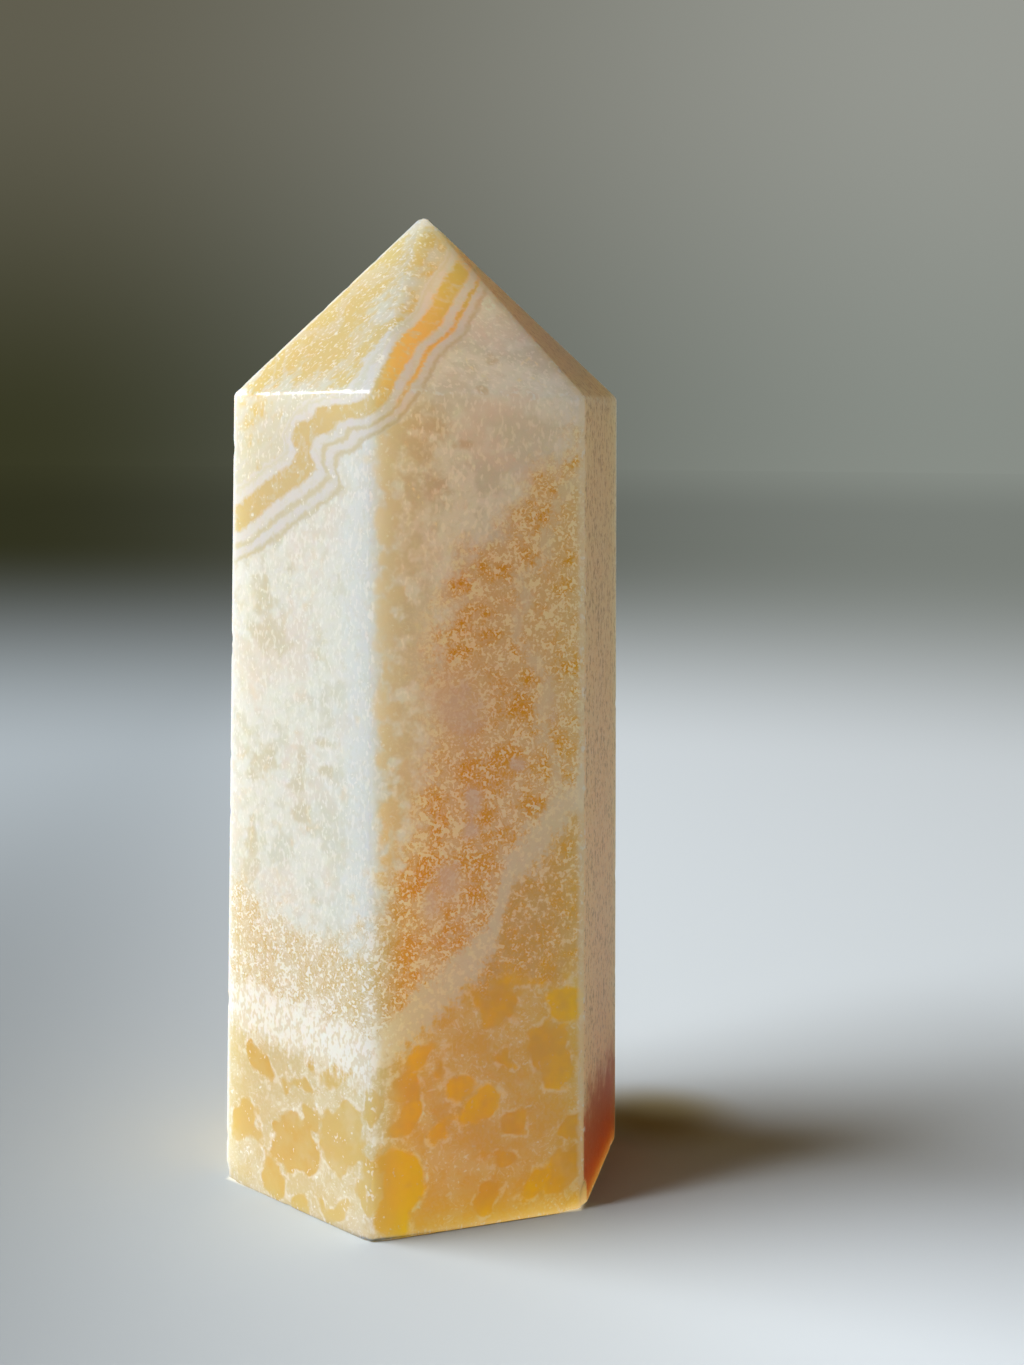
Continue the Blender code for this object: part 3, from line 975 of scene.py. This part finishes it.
def foot_colour(graph, grain, colours):
    """The foot: clear amber crystals with pale walls in a swirled ground."""
    swirl = graph.noise(graph.shifted(grain.place, (3.0, 2.0, 8.0)), 0.25, detail=3.0, roughness=0.6)
    # Painted light: lit copies on the lit side, and copies painted for the shade on the other sides
    wall = grain.tone(colours.wall_lit, colours.wall)
    ground = grain.tone(colours.foot_lit, colours.foot)
    ground = graph.mix(graph.smooth(swirl + 0.6 * grain.middle, -0.1, 0.18) * 0.65, ground, wall)
    ground = graph.mix(graph.smooth(grain.grit + 0.6 * grain.sugar, -0.05, 0.2) * 0.25, ground, wall)
    full = graph.attribute("amber_depth")
    depth = graph.attribute("amber") + (3.4 - 1.8 * full) * grain.shape + 0.5 * grain.middle
    strength = full + 1.2 * grain.shape + 0.8 * grain.middle
    pale = grain.tone(colours.amber_lit, colours.amber)
    deep = grain.tone(colours.amber_deep_lit, colours.amber_deep)
    amber = graph.mix(graph.smooth(strength, 0.2, 1.3), pale, deep)
    amber = graph.mix(graph.smooth(swirl - 0.2 * full, -0.08, 0.12) * 0.35, amber, ground)
    colour = graph.mix(graph.smooth(depth + 1.2 * grain.sand, -0.35, 0.3), ground, amber)
    white = grain.tone(colours.bright, colours.needle)
    rim = graph.smooth(graph.math("ABSOLUTE", depth + 0.15), 0.4, 0.05)
    colour = graph.mix(rim * graph.smooth(grain.middle + grain.sand, -0.1, 0.15) * 0.5, colour, white)
    loose = graph.smooth(depth, 0.1, -0.4) * graph.smooth(swirl + 0.5 * grain.broad, -0.1, 0.1)
    speckle = graph.math("MAXIMUM", grain.strokes * 0.5, grain.glints)
    return graph.mix(speckle * loose * 0.8, colour, white)


def right_side_colour(graph, grain, colour, colours):
    """The side away from the light: rosy grain with darker specks, a painted highlight along its
    edge with the front, and deep amber at its foot, reddened by painted light come through it.
    """
    height = graph.part(grain.place, "Z")
    right = graph.attribute("right")
    # Painted highlight: a pale line along the edge between the front and the right side, where its rounding
    # catches light
    edge = graph.smooth(right + 0.5 * grain.middle, 0.75, 0.3)
    colour = graph.mix(edge * 0.6, colour, colours.vein)
    far = graph.smooth(graph.attribute("lit") + 3.0 * grain.broad, 27.0, 31.0)
    side = graph.math("MAXIMUM", graph.smooth(right, 0.12, 0.0), far * 0.5)
    rose = graph.mix(graph.smooth(height, 62.0, 36.0), colours.rose, colours.rose_low)
    specks = graph.smooth(grain.sand + 0.6 * grain.streaks, 0.03, 0.14)
    grained = graph.mix(specks * 0.9, rose, colours.rose_speck)
    pale = graph.smooth(grain.sand + 0.5 * grain.grit, -0.03, -0.15)
    grained = graph.mix(pale * 0.4, grained, colours.vein)
    colour = graph.mix(side * (0.85 - 0.35 * graph.smooth(height, 72.0, 77.0)), colour, grained)
    # Painted light: the foot of the side away from the light glows deep red amber, as if lit by light come
    # through the foot
    low = graph.smooth(height + 8.0 * grain.broad + 4.0 * grain.middle, 13.0, 7.0)
    return graph.mix(side * low * 0.9, colour, colours.painted_foot_glow)


def stone_colour(graph, grain, colours):
    """All of the stone's marks, laid over each other."""
    broad, middle, fine = grain.broad, grain.middle, grain.fine
    growth = graph.attribute("growth") + 0.4 * broad + 0.45 * middle + 0.4 * fine
    on_left = graph.smooth(graph.attribute("lit"), 1.2, 0.2)
    height = graph.part(grain.place, "Z")
    # Painted light: the bands in their copy painted for the shaded front, and in their lit copy on the lit
    # side and high on the facets
    tan_bands = graph.math("MAXIMUM", on_left, graph.smooth(height, 76.5, 71.0))
    bands = band_colour(graph, grain, growth, colours, colours.band_orange, colours.band_orange)
    left_bands = band_colour(graph, grain, growth, colours, colours.band_tan, colours.tan)
    bands = graph.mix(tan_bands, bands, left_bands)
    milk = milk_colour(graph, grain, colours)
    colour = graph.mix(graph.smooth(growth, BAND_LOW, BAND_LOW + 0.3), milk, bands)
    cream = cream_colour(graph, grain, growth, colours)
    colour = graph.mix(graph.smooth(growth, BAND_HIGH - 0.3, BAND_HIGH), colour, cream)
    # Painted light: the sides away from the light, and the tip a second time, take a warm tint as if lit by
    # light come through the stone
    colour = graph.mix(grain.inside, colour, colours.painted_through_light_tint, blend="MULTIPLY")
    painted_tip_share = grain.inside * graph.smooth(height, 78.0, 83.0)
    colour = graph.mix(painted_tip_share, colour, colours.painted_through_light_tint, blend="MULTIPLY")
    # Painted light: a golden glow on the front beside the lit side, where light comes through the corner of
    # the stone
    strip = graph.attribute("lit") + 3.0 * broad + 1.2 * middle
    strip = graph.smooth(strip, 0.2, 1.4) * graph.smooth(strip, 6.5, 3.0)
    strip = strip * graph.smooth(growth, BAND_LOW + 0.3, BAND_LOW)
    painted_glow = graph.mix(graph.smooth(height, 52.0, 28.0), colours.strip, colours.ground)
    colour = graph.mix(strip * graph.smooth(middle + broad, -0.2, 0.1) * 0.9, colour, painted_glow)
    # Painted light: bright on the lit side, and needle as its copy painted for the shade
    white = grain.tone(colours.bright, colours.needle)
    granular = graph.attribute("granular") + 5.0 * broad + 4.0 * grain.sand + 2.0 * middle
    granules = granular_colour(graph, grain, colours)
    colour = graph.mix(graph.smooth(granular, -1.4, 2.0), colour, granules)
    colour = graph.mix(grain.strokes * graph.smooth(granular, -6.0, 0.0) * 0.2, colour, white)
    below = graph.attribute("vein") + 1.4 * broad + 1.6 * middle + 1.0 * fine
    upper = graph.smooth(height + 8.0 * broad + 4.0 * middle, 20.5, 24.0) * grain.inside
    foot = graph.mix(upper * 0.75, foot_colour(graph, grain, colours), granules)
    foot = graph.mix(upper * graph.smooth(grain.sand + 0.5 * middle, 0.1, -0.1) * 0.6, foot, colours.brown)
    colour = graph.mix(graph.smooth(below, 0.3, -0.3), colour, foot)
    reach = VEIN_HALF_WIDTH + 0.15 * on_left
    fray = 2.2 * grain.sand + 1.2 * grain.streaks
    vein = graph.smooth(graph.math("ABSOLUTE", below) - reach + fray, 0.7, -0.6)
    thin = graph.attribute("thin_vein") + 0.8 * fray + 0.6 * broad
    thin = graph.smooth(thin - THIN_VEIN_HALF_WIDTH, 0.6, -0.4)
    milky = graph.mix(graph.smooth(grain.sand + middle, -0.1, 0.3) * 0.4, colours.vein, colours.clot)
    milky = graph.mix(graph.smooth(grain.sand + 0.5 * grain.sugar, 0.0, 0.13) * 0.6, milky, white)
    milky = graph.mix(on_left, milky, colours.bright)
    ragged = graph.smooth(grain.sugar + 0.8 * middle, -0.04, 0.12) * on_left * 0.7
    milky = graph.mix(ragged, milky, colours.ground_lit)
    colour = graph.mix(graph.math("MAXIMUM", vein * 0.9, thin * 0.65), colour, milky)
    crack = graph.smooth(graph.attribute("crack") + 0.3 * fine, 0.17, 0.05)
    colour = graph.mix(crack * graph.smooth(middle + fine, -0.15, 0.1) * 0.75, colour, white)
    # Painted highlight: a bright line along the back edge of the lit side, where the light catches it
    rim = graph.smooth(graph.attribute("rim") + 0.6 * middle, 0.7, 0.1)
    colour = graph.mix(rim * 0.8, colour, colours.bright)
    return right_side_colour(graph, grain, colour, colours)


def worn_and_sheen_edges(graph, grain):
    """How worn the surface is, with a painted sheen: whitish flecks along its edges, which also
    stand in for the highlight on their rounding, and wear round the tip.
    """
    near = graph.smooth(graph.attribute("edge"), 0.8, 0.1)
    flecks = graph.smooth(grain.sugar + 0.8 * grain.middle, 0.1, 0.2)
    tip = graph.smooth(graph.part(grain.place, "Z") + 6.0 * grain.middle + 3.0 * grain.fine, 88.0, 89.8)
    return graph.math("MAXIMUM", near * flecks * 0.6, tip * 0.45)


def stone_material(colours):
    """Polished calcite: the marks in its colour, light deep inside it, and a hard gloss."""
    material = bpy.data.materials.new("Orange_calcite")
    material.use_nodes = True
    graph = Graph(material.node_tree)
    grain = Grain(graph, graph.scaled(graph.coordinates("Object"), 1 / MILLIMETRE))
    wear_and_sheen = worn_and_sheen_edges(graph, grain)
    colour = stone_colour(graph, grain, colours)
    # Whitish wear with a painted sheen along the edges, and the glints, fewer on the sides away from the
    # light
    glints = grain.glints * (0.6 - 0.45 * grain.inside)
    colour = graph.mix(graph.math("MAXIMUM", wear_and_sheen, glints), colour, colours.bright)
    graph.set("Base Color", colour)
    dull = graph.smooth(graph.attribute("right"), 0.15, 0.0)
    graph.set("Roughness", GLOSS_ROUGHNESS + 0.1 * grain.middle + DULL_ROUGHNESS * dull)
    relief = 0.5 * grain.middle + 0.25 * grain.fine
    bump = {"Strength": 0.5, "Distance": RELIEF_DEPTH, "Height": relief}
    graph.set("Normal", graph.node("ShaderNodeBump", None, bump, "Normal"))
    graph.set("IOR", CALCITE_IOR)
    graph.set("Specular IOR Level", GLOSS)
    graph.set("Subsurface Weight", 1.0)
    graph.set("Subsurface Radius", LIGHT_REACH_SHARES)
    graph.set("Subsurface Scale", LIGHT_REACH)
    return material


class CALCITE_OT_stone(bpy.types.Operator):
    """Build the polished stone"""

    bl_idname = "calcite.stone"
    bl_label = "Calcite stone"

    def execute(self, context):
        rings = stone_rings(context.scene.stone_sizes)
        low, high = rings.reshape(-1, 3).min(axis=0), rings.reshape(-1, 3).max(axis=0)
        middle = (low + high) / 2 * (1, 1, 0)
        mesh = closed_mesh("Calcite_stone", chipped(rings - middle, middle / MILLIMETRE))
        for name, values in stone_fields(mesh_places(mesh) / MILLIMETRE, middle / MILLIMETRE).items():
            field = mesh.attributes.new(name, "FLOAT", "POINT")
            field.data.foreach_set("value", values.astype(np.float32))
        stone = bpy.data.objects.new("Calcite_stone", mesh)
        context.scene.collection.objects.link(stone)
        mesh.materials.append(stone_material(context.scene.stone_colours))
        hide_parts(NODE)
        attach(stone, "root")
        return {"FINISHED"}


def window_light(stage):
    """The soft light, a rectangle as large as a window that faces the stone."""
    light = bpy.data.lights.new("Window", "AREA")
    light.shape = "RECTANGLE"
    light.size = stage.window_width
    light.size_y = stage.window_height
    light.energy = stage.window_power
    light.color = stage.window_colour
    lamp = bpy.data.objects.new("Window", light)
    turn = stage.camera_azimuth + stage.window_turn
    flat = math.cos(stage.window_rise)
    away = Vector((math.sin(turn) * flat, -math.cos(turn) * flat, math.sin(stage.window_rise)))
    lamp.location = Vector(WINDOW_AIM) + away * stage.window_distance
    lamp.rotation_euler = away.to_track_quat("Z", "Y").to_euler()
    bpy.context.scene.collection.objects.link(lamp)


def camera(stage):
    """The camera, at the photograph's place and angle."""
    made = bpy.data.objects.new("Camera", bpy.data.cameras.new("Camera"))
    made.data.lens = LENS
    made.data.sensor_width = SENSOR_WIDTH
    made.data.clip_start = NEAREST_SEEN
    azimuth, distance = stage.camera_azimuth, stage.camera_distance
    place = Vector((distance * math.sin(azimuth), -distance * math.cos(azimuth), stage.camera_height))
    turn = Matrix.Rotation(azimuth - stage.camera_turn, 4, "Z")
    tilt = Matrix.Rotation(math.pi / 2 - stage.camera_pitch, 4, "X")
    roll = Matrix.Rotation(stage.camera_roll, 4, "Z")
    made.matrix_world = Matrix.Translation(place) @ turn @ tilt @ roll
    bpy.context.scene.collection.objects.link(made)
    return made


def floor_material(stage):
    """Pale card that falls away with distance into the tone of the backdrop.

    Under the stone the card glows with the light that the stone lets through.
    """
    material = bpy.data.materials.new("Pale_card")
    material.use_nodes = True
    graph = Graph(material.node_tree)
    place = graph.coordinates("Object")
    nearness = 1.0 / (graph.length(graph.flat(place)) + FLOOR_NEAR)
    across = graph.dot(place, sideways(stage))
    ahead = graph.dot(place, forwards(stage))
    shade = graph.mix(graph.smooth(ahead, -0.03, 0.25), stage.floor_shade, stage.floor_shade_far)
    near_tone = graph.mix(graph.smooth(across, -0.07, 0.035), shade, stage.floor_light)
    far = graph.smooth(nearness, *FLOOR_FADE)
    side = graph.smooth(across * nearness, *SIDE_FADE)
    far_tone = graph.mix(side, stage.backdrop_shade, stage.backdrop_light)
    far_tone = graph.scaled(far_tone, 1.0 - 0.22 * graph.smooth(nearness, 0.05, 0.5))
    beside = graph.length(graph.shifted(graph.flat(place), beside_foot(stage)))
    near_tone = graph.mix(graph.smooth(beside, *SHADE_FADE), near_tone, stage.floor_warm)
    graph.set("Base Color", graph.mix(far, near_tone, (0.0, 0.0, 0.0)))
    graph.set("Roughness", 0.5)
    graph.set("Specular IOR Level", 0.0)
    reach = [graph.math("ABSOLUTE", graph.dot(place, face_direction(i))) for i in range(3)]
    reach = graph.math("MAXIMUM", graph.math("MAXIMUM", reach[0], reach[1]), reach[2])
    under = graph.smooth(reach, *FOOT_FADE)
    near_right = graph.smooth(across, 0.005, 0.045) * graph.smooth(ahead, 0.005, -0.03)
    glow = graph.mix(near_right, (0.0, 0.0, 0.0), stage.floor_lift)
    graph.set("Emission Color", graph.mix(far, graph.mix(under, glow, stage.floor_glow), far_tone))
    graph.set("Emission Strength", 1.0)
    return material


def beside_foot(stage):
    """The level step from the darkest part of the stone's shade back to the stone's axis."""
    aside, back = SHADE_PLACE
    return tuple(-aside * Vector(sideways(stage)) - back * Vector(forwards(stage)))


def face_direction(i):
    """The level direction in which one of the stone's sides faces."""
    turn = math.radians((BASE_CORNERS[i][0] + BASE_CORNERS[i + 1][0]) / 2)
    return (math.sin(turn), -math.cos(turn), 0.0)


def forwards(stage):
    """The level direction in which the camera looks at the stone."""
    return (-math.sin(stage.camera_azimuth), math.cos(stage.camera_azimuth), 0.0)


def sideways(stage):
    """The level direction that runs to the right as the camera sees the stone."""
    return (math.cos(stage.camera_azimuth), math.sin(stage.camera_azimuth), 0.0)


def backdrop(stage):
    """A plain soft backdrop, darker on the left and overhead, which also gives the fill light."""
    world = bpy.data.worlds.new("Backdrop")
    world.use_nodes = True
    graph = Graph(world.node_tree)
    direction = graph.coordinates("Generated")
    side = graph.smooth(graph.dot(direction, sideways(stage)), *SIDE_FADE)
    up = graph.part(direction, "Z")
    low_tone = graph.mix(side, stage.backdrop_shade, stage.backdrop_light)
    high_tone = graph.mix(side, stage.backdrop_high_shade, stage.backdrop_high_light)
    tone = graph.mix(graph.smooth(up, 0.0, 0.2), low_tone, high_tone)
    ahead = graph.dot(direction, forwards(stage))
    tone = graph.mix(graph.smooth(ahead, 0.85, 0.6), tone, stage.room)
    tone = graph.mix(graph.smooth(up, 0.25, 0.45), tone, stage.overhead)
    background = world.node_tree.nodes["Background"]
    graph.fill(background.inputs["Color"], tone)
    return world


class CALCITE_OT_stage(bpy.types.Operator):
    """Set the floor, the light and the camera"""

    bl_idname = "calcite.stage"
    bl_label = "Stage"

    def execute(self, context):
        stage = context.scene.stage_sizes
        context.scene.camera = camera(stage)
        bpy.ops.mesh.primitive_circle_add(
            vertices=128, radius=FLOOR_RADIUS, fill_type="NGON", location=(0, 0, -FLOOR_GAP),
        )
        floor = context.object
        floor.name = "Floor"
        floor.data.materials.append(floor_material(stage))
        window_light(stage)
        context.scene.world = backdrop(stage)
        context.scene.view_settings.view_transform = "Standard"
        return {"FINISHED"}


class CALCITE_PT_panel(bpy.types.Panel):
    """Buttons for the stone and its stage"""

    bl_label = "Calcite tower"
    bl_idname = "CALCITE_PT_panel"
    bl_space_type = "VIEW_3D"
    bl_region_type = "UI"
    bl_category = "Calcite"

    def draw(self, context):
        self.layout.operator("calcite.stone")
        self.layout.operator("calcite.stage")


CLASSES = (StoneSizes, StoneColours, StageSizes, CALCITE_OT_stone, CALCITE_OT_stage, CALCITE_PT_panel)


def register():
    for item in CLASSES:
        bpy.utils.register_class(item)
    bpy.types.Scene.stone_sizes = PointerProperty(type=StoneSizes)
    bpy.types.Scene.stone_colours = PointerProperty(type=StoneColours)
    bpy.types.Scene.stage_sizes = PointerProperty(type=StageSizes)


def unregister():
    del bpy.types.Scene.stone_sizes
    del bpy.types.Scene.stone_colours
    del bpy.types.Scene.stage_sizes
    for item in reversed(CLASSES):
        bpy.utils.unregister_class(item)


def main():
    register()
    bpy.ops.calcite.stone()
    bpy.ops.calcite.stage()


if __name__ == "__main__":
    main()
